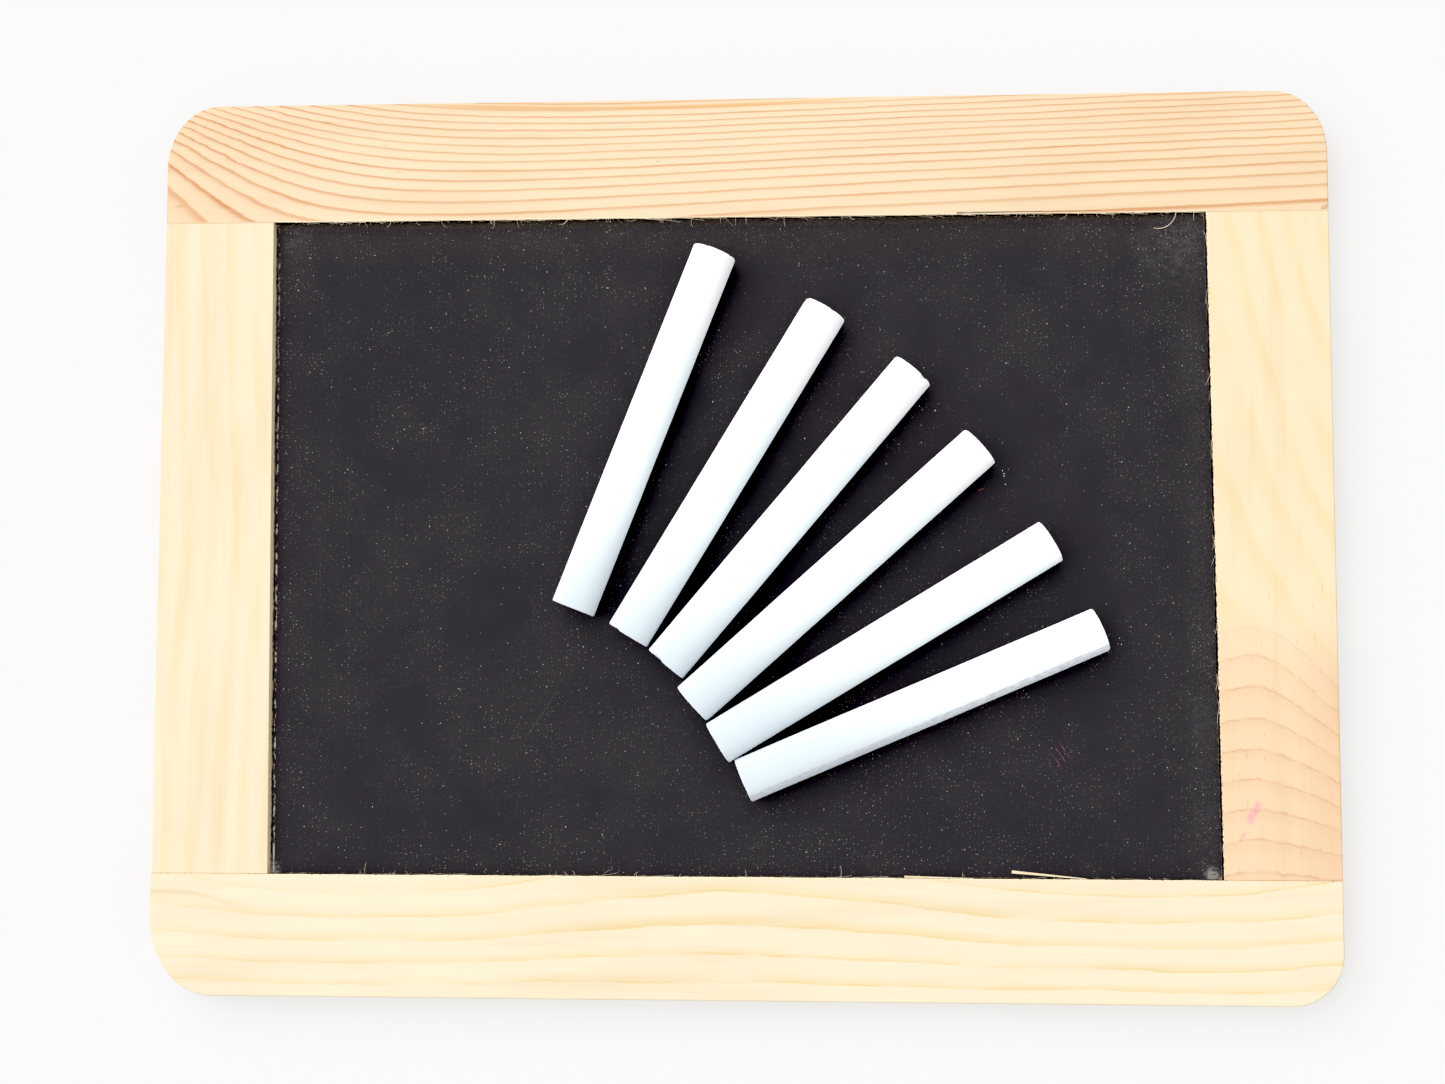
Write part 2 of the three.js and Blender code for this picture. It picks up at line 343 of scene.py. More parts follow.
def rightStilePine():
    finish = Finish("pineRightStile")
    x, y, z = finish.xyz
    wave = finish.noise((14, 20, 60), 2.0, 0.5, 27.0) - 0.5
    tremble = finish.noise((2.4, 1.6, 4), 3.0, 0.7, 29.0) - 0.5
    up = y - bottomEdge + wave * 2.0 + tremble * 1.9 + (face - z) * 0.5
    # near the foot the rings are domes that fall away to the right; higher up they stand almost upright
    right = finish.sum("MAXIMUM", (x - 106.5) / 16.5, 0.0) ** 1.6
    left = finish.sum("MAXIMUM", (106.5 - x) / 7.5, 0.0) ** 2
    fall = finish.sum("MINIMUM", up * 0.3 + 1.6, 13.0)
    dome = (up + right * fall + left * 1.3) / 6.2 + 0.62
    out = finish.sum("MAXIMUM", (123 - x) / 24.1, 0.0) ** 1.43
    lean = out * 1.6 / (out * 1.6 + 1)
    level = up - finish.sum("MAXIMUM", up - 20, 0.0) * lean + wave * 5
    tall = level / (level * 0.05 + 5.6) + 3
    foot = finish.rise(up + right * 8, 60, 36)
    vary = finish.noise((7, 20, 8), 2.0, 0.5, 37.0)
    shown = finish.rise(vary, 0.3, 0.62)
    broken = finish.noise((3.0, 1.5, 3), 2.0, 0.6, 33.0)
    soft = growthLine(finish, tall, 0.5, 0.2) * (1 - foot) * (0.2 + shown * 0.8)
    sharp = growthLine(finish, dome, 0.09, 0.06) * foot * (0.20 + finish.rise(broken, 0.38, 0.6) * 0.80)
    band = growthLine(finish, dome, 0.6, 0.06) * foot
    edge = finish.rise(x, 112, 122) * finish.rise(up, 62, 40)
    colour = finish.mix(foot * 0.85, pine["honey"], pine["peach"])
    colour = finish.mix(edge * 0.25, colour, pine["peachLine"])
    colour = finish.mix(soft * 0.52, colour, pine["creamLine"])
    colour = finish.mix(sharp * 0.50 + band * 0.17, colour, pine["peachLine"])
    # short resin ticks stand across the domes, and pink chalk is smeared near the foot
    ticks = finish.spots(5.5, 0.10, 0.26, 7.0, (0.32, 1.6, 1), True) * finish.rise(up, 78, 60)
    colour = finish.mix(ticks * 0.5, colour, footMarks["tick"])
    smear = finish.noise((0.5, 0.9, 1), 3.0, 0.7, 3.0)
    pink = sum(finish.stroke(*place) for place in footMarks["smears"])
    pink = pink * (0.35 + finish.rise(smear, 0.38, 0.62) * 0.65)
    colour = finish.mix(pink * 0.62, colour, footMarks["pink"])
    wall = stileOut(finish, 1)
    return finishPine(finish, colour, soft + sharp, 1, 51.0, wall, 7.9, stileJoint(finish))


slate = {
    "black": (0.0335, 0.0307, 0.0353), "worn": (0.0440, 0.0402, 0.0442), "dust": (0.15, 0.14, 0.13),
    "warmDustAndShadeLift": (0.155, 0.122, 0.098), "warmSpeck": (0.68, 0.55, 0.44), "greySpeck": (0.61, 0.62, 0.61),
    "filler": (0.36, 0.34, 0.31), "pink": (0.34, 0.12, 0.24), "rust": (0.16, 0.075, 0.04),
    "chip": (0.52, 0.49, 0.43), "roughness": 0.78, "sheen": 0.22,
}

# Places on the board. A blot is its middle, its radius and often a strength. A line is its middle, heading
# and length, then its width for rust and its strength for a scratch.
marks = {
    "dusty": ((40, -52, 46, 0.45), (-68, 38, 26, 0.30)),
    "smudges": ((-95, 65.5, 4.5, 0.7), (92.5, 63, 12, 0.62), (95.5, -37, 8, 0.35)),
    "fillers": ((97.2, -68.4, 2.2, 1), (-97.6, -68.5, 2.2, 1)),
    "rubbed": (66.5, -44.0, 3.4), "rust": (50.8, 11.0, 20, 1.5, 0.5),
    "scratches": (
        (-41.1, -35.9, 56, 13.5, 0.16), (-43.2, -12.6, -62, 4.5, 0.13), (-82.7, 10.0, 88, 20.0, 0.07),
        (-88.7, -6.0, 91, 24.0, 0.06), (-71.0, -30.0, 12, 7.0, 0.10), (-0.5, 40.6, -50, 1.6, 0.6),
    ),
}


def slatePaint():
    finish = Finish("slatePaint")
    x, y = finish.xyz[:2]
    left = stileOut(finish, -1) * -1
    right = stileOut(finish, 1) * -1
    below, above = topEdge - y, y - bottomEdge
    edge = finish.sum("MINIMUM", finish.sum("MINIMUM", left, right), finish.sum("MINIMUM", below, above))
    rim = finish.rise(edge, 16, 1)
    patch = finish.noise((14, 14, 14), 3.0, 0.6, 5.0)
    haze = finish.noise((2.6, 1.6, 3), 5.0, 0.75, 6.0)
    grain = finish.noise((0.30, 0.30, 0.30), 3.0, 0.7, 2.0)
    colour = finish.mix(finish.rise(patch, 0.35, 0.7) * 0.5, slate["black"], slate["worn"])
    hazy = finish.rise(haze, 0.5, 0.8) * finish.rise(patch, 0.4, 0.65)
    colour = finish.mix(hazy * (0.03 + rim * 0.08), colour, slate["dust"])
    # brown dust lies along the top rail and a little along the others, and right under the top rail the paint
    # is lifted further: painted light that cancels the rail's shadow
    speckled = finish.rise(grain, 0.40, 0.66)
    colour = finish.mix(speckled * finish.rise(below, 11, 0.5) * 0.16, colour, slate["warmDustAndShadeLift"])
    # painted light: a paler strip within 2 mm of the top rail, where the rail's shadow falls
    colour = finish.mix((speckled * 0.4 + 0.12) * finish.rise(below, 2.0, 0.5), colour, slate["warmDustAndShadeLift"])
    colour = finish.mix(speckled * finish.rise(right, 9.0, 0.5) * 0.26, colour, slate["dust"])
    # dust: many faint grains, some plain ones and a few bright ones, thicker towards the frame
    cluster = finish.rise(finish.noise((5, 5, 5), 3.0, 0.6, 31.0), 0.40, 0.64)
    settled = finish.rise(patch, 0.34, 0.62) * 0.75 + rim * 0.35
    settled = (settled + finish.blots(marks["dusty"])) * (0.35 + cluster * 0.95)
    faint = finish.spots(0.80, 0.16, 0.5, 3.0, flat=True) * 0.30
    plain = finish.spots(1.4, 0.076, 0.42, 8.0, flat=True)
    bright = finish.spots(4.2, 0.036, 0.5, 14.0, flat=True)
    specks = finish.sum("MAXIMUM", faint, plain) * settled
    specks = finish.sum("MINIMUM", finish.sum("MAXIMUM", specks, bright * (0.4 + settled * 0.6)), 1.0)
    tint = finish.rise(finish.noise((0.9, 0.9, 0.9), 1.0, 0.5, 21.0), 0.4, 0.6)
    colour = finish.mix(specks, colour, finish.mix(tint, slate["warmSpeck"], slate["greySpeck"]))
    # smudges in three corners, grey filler in two, pale scratches and a few rubbed pink lines
    worn = finish.rise(haze, 0.40, 0.66) * (0.5 + speckled * 0.5)
    colour = finish.mix(finish.blots(marks["smudges"]) * worn * 0.55, colour, slate["dust"])
    filler = finish.blots(marks["fillers"]) * finish.rise(haze, 0.42, 0.56)
    colour = finish.mix(filler * 0.75, colour, slate["filler"])
    for number, (middleX, middleY, heading, length, strength) in enumerate(marks["scratches"]):
        bow = finish.noise((4, 4, 4), 1.0, 0.5, 50.0 + number) - 0.5
        mark = finish.stroke(middleX, middleY, heading, length, 0.34 + bow * 0.4)
        colour = finish.mix(mark * strength, colour, slate["dust"])
    lines = finish.rise(abs(finish.sum("FRACT", x * 0.62 + y * 0.45) - 0.5), 0.14, 0.04)
    rubbed = finish.blot(*marks["rubbed"]) * lines * finish.rise(haze, 0.42, 0.6)
    colour = finish.mix(rubbed * 0.46, colour, slate["pink"])
    colour = finish.mix(finish.stroke(*marks["rust"]) * 0.7, colour, slate["rust"])
    # bare flecks where the paint has broken away along the left edge
    broken = finish.rise(finish.noise((0.6, 1.5, 1), 3.0, 0.7, 12.0), 0.50, 0.56)
    fleck = broken * finish.rise(left, 1.0, 0.86) * finish.rise(left, 0.5, 0.6)
    fleck = fleck * (0.45 + finish.rise(y, 45, -10) * 0.4)
    colour = finish.mix(fleck, colour, slate["chip"])
    finish.set(Base_Color=colour, Roughness=slate["roughness"] + grain * 0.12)
    finish.shader.inputs["Specular IOR Level"].default_value = slate["sheen"]
    finish.bump(grain + specks * 0.8, 0.5, 0.05)
    return finish.material


def fibreBoard():
    finish = Finish("fibreBoard")
    fleck = finish.noise((0.5, 1.6, 0.5), 3.0, 0.6, 3.0)
    cloud = finish.noise((18, 18, 18), 2.0, 0.5, 6.0)
    colour = finish.mix(finish.rise(fleck, 0.35, 0.7), (0.42, 0.30, 0.19), (0.55, 0.43, 0.30))
    colour = finish.mix(finish.rise(cloud, 0.4, 0.7) * 0.3, colour, (0.38, 0.26, 0.15))
    finish.set(Base_Color=colour, Roughness=0.75 + fleck * 0.15)
    finish.bump(fleck, 0.4, 0.06)
    return finish.material


def bradSteel():
    finish = Finish("bradSteel")
    scuff = finish.noise((0.3, 0.3, 0.3), 3.0, 0.6, 4.0)
    colour = finish.mix(finish.rise(scuff, 0.4, 0.7), (0.50, 0.50, 0.52), (0.36, 0.34, 0.33))
    finish.set(Base_Color=colour, Metallic=1.0, Roughness=0.28 + scuff * 0.25)
    return finish.material


pressed = {
    "white": (0.88, 0.93, 0.945), "dull": (0.85, 0.91, 0.93), "upper": (0.94, 0.92, 0.93),
    "lower": (0.67, 0.725, 0.765), "pit": (0.60, 0.62, 0.65), "scrapedAndShaded": (0.47, 0.48, 0.54),
}


# Pressed chalk, warmer at the top of the board and darker and bluer at the foot: painted light, for warm
# light above and cool shade below. A scraped stick has a rough grey band along one side, past a line so many
# millimetres off its axis; that side faces away from the light, so its grey is partly painted shade.
def pressedChalk(name, scrape=None):
    finish = Finish(name)
    x, y = finish.xyz[:2]
    grain = finish.noise((0.25, 0.25, 0.25), 4.0, 0.65, 1.0)
    blotch = finish.noise((5, 5, 5), 2.0, 0.5, 2.0)
    colour = finish.mix(finish.rise(blotch, 0.45, 0.7) * 0.5, pressed["white"], pressed["dull"])
    # painted light: warmer towards the top of the board
    upper = finish.rise(x * 0.53 + y * 0.85 + blotch * 6, 30, 38)
    colour = finish.mix(upper, colour, pressed["upper"])
    # painted shade: darker and bluer towards the foot of the board
    lower = finish.rise(x * 0.5 + y * 0.87 + blotch * 4, 6, -30)
    colour = finish.mix(lower, colour, pressed["lower"])
    pits = finish.spots(1.1, 0.12, 0.22, 5.0)
    colour = finish.mix(pits * 0.35, colour, pressed["pit"])
    rough = grain - pits
    if scrape:
        middle, turn, side = scrape
        past = (x - middle.x / mm) * math.sin(turn) - (y - middle.y / mm) * math.cos(turn)
        torn = finish.noise((1.6, 1.0, 0.8), 4.0, 0.7, 7.0)
        band = finish.rise(past + torn * 0.5, side - 0.1, side + 0.5)
        # the grey band is partly a real scraped side and partly painted shade, on the side away from the
        # light
        greyedAndShaded = band * (0.35 + finish.rise(torn, 0.38, 0.62) * 0.35)
        colour = finish.mix(greyedAndShaded, colour, pressed["scrapedAndShaded"])
        rough = rough + band * torn * 1.4
    finish.set(Base_Color=colour, Roughness=0.88 + grain * 0.1)
    finish.shader.inputs["Specular IOR Level"].default_value = 0.2
    finish.shader.inputs["Diffuse Roughness"].default_value = 1.0
    finish.bump(rough, 0.35, 0.05)
    return finish.material


def looseFibre(name, pale, dark):
    finish = Finish(name)
    shade = finish.noise((3, 3, 3), 2.0, 0.5, 1.0)
    finish.set(Base_Color=finish.mix(finish.rise(shade, 0.35, 0.65), pale, dark), Roughness=0.7)
    return finish.material


def newPiece(name, bm, material, body, nodes=(), smooth=40):
    bmesh.ops.remove_doubles(bm, verts=bm.verts, dist=1e-7)
    bmesh.ops.recalc_face_normals(bm, faces=bm.faces)
    mesh = bpy.data.meshes.new(name)
    bm.to_mesh(mesh)
    bm.free()
    mesh.materials.append(material)
    for polygon in mesh.polygons:
        polygon.use_smooth = True
    mesh.set_sharp_from_angle(angle=math.radians(smooth))
    piece = bpy.data.objects.new(name, mesh)
    bpy.context.scene.collection.objects.link(piece)
    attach(piece, body)
    if nodes:
        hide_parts(*nodes)
    return piece


# wide flat faces shade flat right up to their rounded edges
def flatten(piece):
    modifier = piece.modifiers.new("flatFaces", "WEIGHTED_NORMAL")
    modifier.keep_sharp = True
    modifier.weight = 100


def vertsOf(geometry):
    return [one for one in geometry if isinstance(one, bmesh.types.BMVert)]


def facesOf(geometry):
    return [one for one in geometry if isinstance(one, bmesh.types.BMFace)]


# faces pushed out along a way, with the old ones left open behind them
def pushOut(bm, faces, way):
    grown = bmesh.ops.extrude_face_region(bm, geom=faces)["geom"]
    bmesh.ops.translate(bm, verts=vertsOf(grown), vec=Vector(way))
    bmesh.ops.delete(bm, geom=[face for face in faces if face.is_valid], context="FACES_ONLY")
    return facesOf(grown)


bar = {
    "groove": 6.0 * mm, "grooveBack": 2.6 * mm, "grooveFront": 5.6 * mm, "tenonGap": 0.3 * mm,
    "arris": 0.32 * mm, "joint": 0.12 * mm, "topCorner": (11.0 * mm, 13.2 * mm),
    "rightCorner": (10.6 * mm, 10.6 * mm), "leftCorner": (13.2 * mm, 16.1 * mm),
    "sink": {"clear": 0.15 * mm, "deep": 0.85 * mm, "sides": 28},
}
frameLow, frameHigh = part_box("left_stile")[0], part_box("right_stile")[1]
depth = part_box("top_rail")[1].z
layers = ((0, bar["grooveBack"]), (bar["grooveBack"], bar["grooveFront"]), (bar["grooveFront"], depth))


# a flat four-cornered face raised in three layers, so that the middle one can be grooved or tenoned
def layeredBlank(corners, rounded=()):
    bm = bmesh.new()
    bm.faces.new([bm.verts.new((x, y, 0)) for x, y in corners])
    for index, (reach, drop) in rounded:
        at = Vector((*corners[index], 0))
        corner = [vert for vert in bm.verts if (vert.co - at).length < 1e-6]
        cut = {"offset": reach, "segments": 18, "profile": 0.5, "affect": "VERTICES", "material": -1}
        arc = bmesh.ops.bevel(bm, geom=corner, **cut)["verts"]
        bmesh.ops.scale(bm, verts=arc, vec=(1, drop / reach, 1), space=Matrix.Translation(-at))
    top = list(bm.faces)
    for low, high in layers:
        grown = bmesh.ops.extrude_face_region(bm, geom=top)["geom"]
        bmesh.ops.translate(bm, verts=vertsOf(grown), vec=(0, 0, high - low))
        if low > 0:
            bmesh.ops.delete(bm, geom=top, context="FACES_ONLY")
        top = facesOf(grown)
    bmesh.ops.recalc_face_normals(bm, faces=bm.faces)
    return bm


# the side faces of one layer that look a given way
def sideFaces(bm, way, layer):
    bm.normal_update()
    middle = sum(layers[layer]) / 2
    level = [face for face in bm.faces if abs(face.calc_center_median().z - middle) < 1e-6]
    return [face for face in level if face.normal.dot(Vector(way)) > 0.9]


def roundArris(bm, pick, width, segments):
    edges = [edge for edge in bm.edges if pick(edge)]
    cut = {"offset": width, "segments": segments, "profile": 0.5, "affect": "EDGES", "material": -1}
    bmesh.ops.bevel(bm, geom=edges, **cut)


# the sharp edges round the face and the back
def onSkin(edge):
    heights = [vert.co.z for vert in edge.verts]
    level = abs(heights[0] - heights[1]) < 1e-6
    outside = abs(heights[0]) < 1e-6 or abs(heights[0] - depth) < 1e-6
    return level and outside and edge.calc_face_angle(0) > 0.5


# a shallow round hole in the back for the head of each brad
def sinkHeads(bm, heads):
    bm.normal_update()
    sink = bar["sink"]
    behind = [face for face in bm.faces if face.normal.z < -0.99 and face.calc_center_median().z < 0.01 * mm]
    level = (heads[0][0].y + heads[0][1].y) / 2
    spans = [[vert.co.y for vert in face.verts] for face in behind]
    back = next(face for face, span in zip(behind, spans) if min(span) < level < max(span))
    edges = list(back.edges)
    bmesh.ops.delete(bm, geom=[back], context="FACES_ONLY")
    for low, high in heads:
        radius = (high.x - low.x) / 2 + sink["clear"]
        ring = bmesh.ops.create_circle(bm, segments=sink["sides"], radius=radius)["verts"]
        bmesh.ops.translate(bm, verts=ring, vec=((low.x + high.x) / 2, (low.y + high.y) / 2, 0))
        rim = list({edge for vert in ring for edge in vert.link_edges})
        grown = bmesh.ops.extrude_edge_only(bm, edges=rim)["geom"]
        bmesh.ops.translate(bm, verts=vertsOf(grown), vec=(0, 0, sink["deep"]))
        bmesh.ops.contextual_create(bm, geom=vertsOf(grown))
        edges += rim
    bmesh.ops.triangle_fill(bm, edges=edges, use_beauty=True, normal=(0, 0, -1))


def makeRail(name, node, up, rounding, material):
    low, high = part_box(node)
    inner, outer = (low.y, high.y) if up > 0 else (high.y, low.y)
    shoulder = inner + up * bar["groove"]
    corners = [(low.x, shoulder), (high.x, shoulder), (high.x, outer), (low.x, outer)]
    bm = layeredBlank(corners, [(2, rounding[1]), (3, rounding[0])])
    for layer in (0, 2):
        pushOut(bm, sideFaces(bm, (0, -up, 0), layer), (0, -up * bar["groove"], 0))
    bmesh.ops.recalc_face_normals(bm, faces=bm.faces)
    atInner = lambda edge: all(abs(vert.co.y - inner) < 1e-6 for vert in edge.verts)
    roundArris(bm, lambda edge: onSkin(edge) and not atInner(edge), bar["arris"], 4)
    roundArris(bm, lambda edge: onSkin(edge) and atInner(edge), bar["joint"], 2)
    brads = [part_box(one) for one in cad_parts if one.startswith("corner_brad")]
    sinkHeads(bm, [box for box in brads if box[0].y * up > 0])
    flatten(newPiece(name, bm, material, "slate", [node]))


def makeStile(name, node, side, edgeX, material):
    bottom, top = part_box("bottom_rail")[1].y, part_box("top_rail")[0].y
    outer = frameLow.x if side < 0 else frameHigh.x
    wall = side * bar["groove"]
    inner = [(edgeX(top) + wall, top), (edgeX(bottom) + wall, bottom)]
    bm = layeredBlank([(outer, bottom), (outer, top), *inner])
    for layer in (0, 2):
        pushOut(bm, sideFaces(bm, (-side, 0, 0), layer), (-wall, 0, 0))
    bmesh.ops.recalc_face_normals(bm, faces=bm.faces)
    for way in (-1, 1):
        pushOut(bm, sideFaces(bm, (0, way, 0), 1), (0, way * (bar["groove"] - bar["tenonGap"]), 0))
    bmesh.ops.recalc_face_normals(bm, faces=bm.faces)
    atOuter = lambda edge: all(abs(vert.co.x - outer) < 1e-6 for vert in edge.verts)
    long = lambda edge: edge.calc_length() > 2 * mm
    roundArris(bm, lambda edge: onSkin(edge) and atOuter(edge), bar["arris"], 4)
    roundArris(bm, lambda edge: onSkin(edge) and long(edge) and not atOuter(edge), bar["joint"], 2)
    flatten(newPiece(name, bm, material, "slate", [node]))


# where a stile's inner edge is at a height, from the paint's own leaning sides
def innerEdge(side):
    points = [vert.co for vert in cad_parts["writing_surface"].data.vertices]
    gap = 0.3 * mm
    ends = []
    for way in (-1, 1):
        furthest = max(way * point.y for point in points)
        row = [point for point in points if abs(way * point.y - furthest) < 1e-5]
        ends.append(max(row, key=lambda point: side * point.x))
    low, high = ends
    slope = (high.x - low.x) / (high.y - low.y)
    return lambda y: low.x + (y - low.y) * slope + side * gap


makeRail("top_rail_pine", "top_rail", 1, (bar["topCorner"], bar["topCorner"]), topRailPine())
makeRail("bottom_rail_pine", "bottom_rail", -1, (bar["leftCorner"], bar["rightCorner"]), bottomRailPine())
makeStile("left_stile_pine", "left_stile", -1, innerEdge(-1), leftStilePine())
makeStile("right_stile_pine", "right_stile", 1, innerEdge(1), rightStilePine())
print("frame made")


# how far the paint stops from the frame, and how rough its outline is
paint = {
    "cuts": 640, "gap": 0.05 * mm, "leftGap": 0.10 * mm, "ragged": 0.14 * mm, "leftRagged": 0.22 * mm,
    "corner": 1.2 * mm,
}


def makePaint():
    low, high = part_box("writing_surface")
    left, right = innerEdge(-1), innerEdge(1)
    bottom, top = bottomEdge * mm + paint["gap"], topEdge * mm - paint["gap"]
    corners = [(left(bottom) + paint["leftGap"], bottom), (right(bottom) - paint["gap"], bottom),
               (right(top) - paint["gap"], top), (left(top) + paint["leftGap"], top)]
    bm = bmesh.new()
    bm.faces.new([bm.verts.new((x, y, low.z)) for x, y in corners])
    corner = {"offset": paint["corner"], "segments": 5, "profile": 0.5, "affect": "VERTICES", "material": -1}
    bmesh.ops.bevel(bm, geom=list(bm.verts), **corner)
    long = [edge for edge in bm.edges if edge.calc_length() > 20 * mm]
    bmesh.ops.subdivide_edges(bm, edges=long, cuts=paint["cuts"])
    for vert in bm.verts:
        nearLeft = vert.co.x < left(vert.co.y) + 3 * mm
        nearSide = nearLeft or vert.co.x > right(vert.co.y) - 3 * mm
        inward = Vector((-vert.co.x, 0, 0)) if nearSide else Vector((0, -vert.co.y, 0))
        coarse = noise.noise(vert.co * 300 + Vector((0, 0, 7)))
        fine = noise.noise(vert.co * 1500)
        ragged = paint["leftRagged"] if nearLeft else paint["ragged"]
        vert.co += inward.normalized() * ragged * max(0, 0.35 + 0.6 * coarse + 0.7 * fine)
    bmesh.ops.recalc_face_normals(bm, faces=bm.faces)
    grown = bmesh.ops.extrude_face_region(bm, geom=list(bm.faces))["geom"]
    bmesh.ops.translate(bm, verts=vertsOf(grown), vec=(0, 0, high.z - low.z))
    newPiece("slate_paint", bm, slatePaint(), "slate", ["writing_surface"], 30)


makePaint()
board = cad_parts["backing_board"]
board.data.materials.clear()
board.data.materials.append(fibreBoard())
print("board made")


brad = {
    "shank": 0.7 * mm, "rim": 0.12 * mm, "head": 0.45 * mm, "neck": 1.0 * mm, "point": 1.3 * mm,
    "sides": bar["sink"]["sides"],
}


def makeBrad(node, material):
    low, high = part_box(node)
    middle = (low + high) / 2
    head = (high.x - low.x) / 2
    shank = brad["shank"]
    profile = [(0, low.z), (head * 0.8, low.z), (head, low.z + brad["rim"]), (head, low.z + brad["head"]),
               (shank, low.z + brad["neck"]), (shank, high.z - brad["point"]), (0, high.z)]
    bm = bmesh.new()
    verts = [bm.verts.new((middle.x + radius, middle.y, height)) for radius, height in profile]
    edges = [bm.edges.new(pair) for pair in zip(verts, verts[1:])]
    turn = {"cent": middle, "axis": (0, 0, 1), "angle": 2 * math.pi, "steps": brad["sides"]}
    bmesh.ops.spin(bm, geom=verts + edges, use_merge=True, **turn)
    newPiece(node + "_steel", bm, material, "slate", [node])


steel = bradSteel()
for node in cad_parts:
    if node.startswith("corner_brad"):
        makeBrad(node, steel)
print("brads made")


# Worn, bites and nicks start with how fine they are. A bite or a nick then has the level that it starts at.
# The notch is at the upper end of one stick, so many degrees round from its top.
chalk = {
    "sides": 80, "edge": 0.28 * mm, "fine": 0.3 * mm, "fineSteps": 11, "coarseSteps": 34, "chipped": 2.2 * mm,
    "worn": ((110, 0.03), (500, 0.012)), "bites": (330, 0.28, 1.2), "nicks": (1200, 0.2, 0.3),
    "notch": {"node": "chalk_stick_3", "round": 38, "size": 1.2 * mm, "depth": 0.7},
}


# the middle, heading, length and radius of a stick, from the box that its CAD solid fills
def stickLie(node):
    low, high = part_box(node)
    size = high - low
    turn = math.atan2(size.y, size.x)
    for _ in range(30):
        turn = math.atan2(size.y - size.z * math.cos(turn), size.x - size.z * math.sin(turn))
    return (low + high) / 2, turn, (size.x - size.z * math.sin(turn)) / math.cos(turn), size.z / 2


def makeChalk(node, body, seed, material):
    middle, turn, length, radius = stickLie(node)
    fine = chalk["fine"] * chalk["fineSteps"]
    ends = [chalk["fine"]] * chalk["fineSteps"]
    steps = ends + [(length - 2 * fine) / chalk["coarseSteps"]] * chalk["coarseSteps"] + ends
    bm = bmesh.new()
    ring = bmesh.ops.create_circle(bm, segments=chalk["sides"], radius=radius, cap_ends=True)["verts"]
    bmesh.ops.translate(bm, verts=ring, vec=(0, 0, -length / 2))
    top = list(bm.faces)
    for index, step in enumerate(steps):
        grown = bmesh.ops.extrude_face_region(bm, geom=top)["geom"]
        bmesh.ops.translate(bm, verts=vertsOf(grown), vec=(0, 0, step))
        if index:
            bmesh.ops.delete(bm, geom=top, context="FACES_ONLY")
        top = facesOf(grown)
    atEnd = lambda edge: all(abs(abs(vert.co.z) - length / 2) < 1e-6 for vert in edge.verts)
    roundArris(bm, atEnd, chalk["edge"], 3)
    shift = Vector((seed * 13.7, seed * 5.1, seed * 3.3))
    notch = chalk["notch"]
    turned = math.radians(notch["round"])
    deepest = Vector((math.sin(turned), -math.cos(turned), 0)) * radius
    for vert in bm.verts:
        flat = Vector((vert.co.x, vert.co.y, 0))
        end = max(0.0, 1 - (length / 2 - abs(vert.co.z)) / chalk["chipped"])
        wear = sum(noise.noise(vert.co * grain + shift) * deep for grain, deep in chalk["worn"])
        chip = 0.0
        for grain, level, deep in (chalk["bites"], chalk["nicks"]):
            chip += max(0.0, noise.noise(vert.co * grain + shift) - level) * deep * end * end
        if node == notch["node"] and vert.co.z > 0:
            chip += max(0.0, 1 - (flat - deepest).length / notch["size"]) * notch["depth"] * end * end
        if flat.length > radius * 0.5:
            vert.co -= flat.normalized() * (max(0.0, wear + 0.02) + chip * 0.5) * mm
        vert.co.z -= math.copysign(chip * 0.9 * mm, vert.co.z)
    lay = Matrix.Rotation(turn - math.pi / 2, 4, "Z") @ Matrix.Rotation(-math.pi / 2, 4, "X")
    bmesh.ops.transform(bm, matrix=Matrix.Translation(middle) @ lay, verts=bm.verts)
    newPiece(node + "_pressed", bm, material, body, [node], 50)


whiteChalk = pressedChalk("whiteChalk")
lowest = stickLie("chalk_stick_6")
scrapedShadedChalk = pressedChalk("scrapedShadedChalk", (lowest[0], lowest[1], 3.3))
for number in range(1, 7):
    makeChalk(f"chalk_stick_{number}", f"chalk_{number}", number, whiteChalk if number < 6 else scrapedShadedChalk)
print("chalk made")


fuzz = {
    "lying": 230, "standing": 150, "upright": 40, "thick": 0.045 * mm, "sides": 4, "top": depth - 0.12 * mm,
    "curly": {"start": (91.6, 68.9), "turn": -100, "length": 6.4, "curl": -13, "thick": 0.11},
}


# a small part made on its own and then put in with the rest
def putIn(bm, part):
    mesh = bpy.data.meshes.new("part")
    part.to_mesh(mesh)
    part.free()
    bm.from_mesh(mesh)
    bpy.data.meshes.remove(mesh)


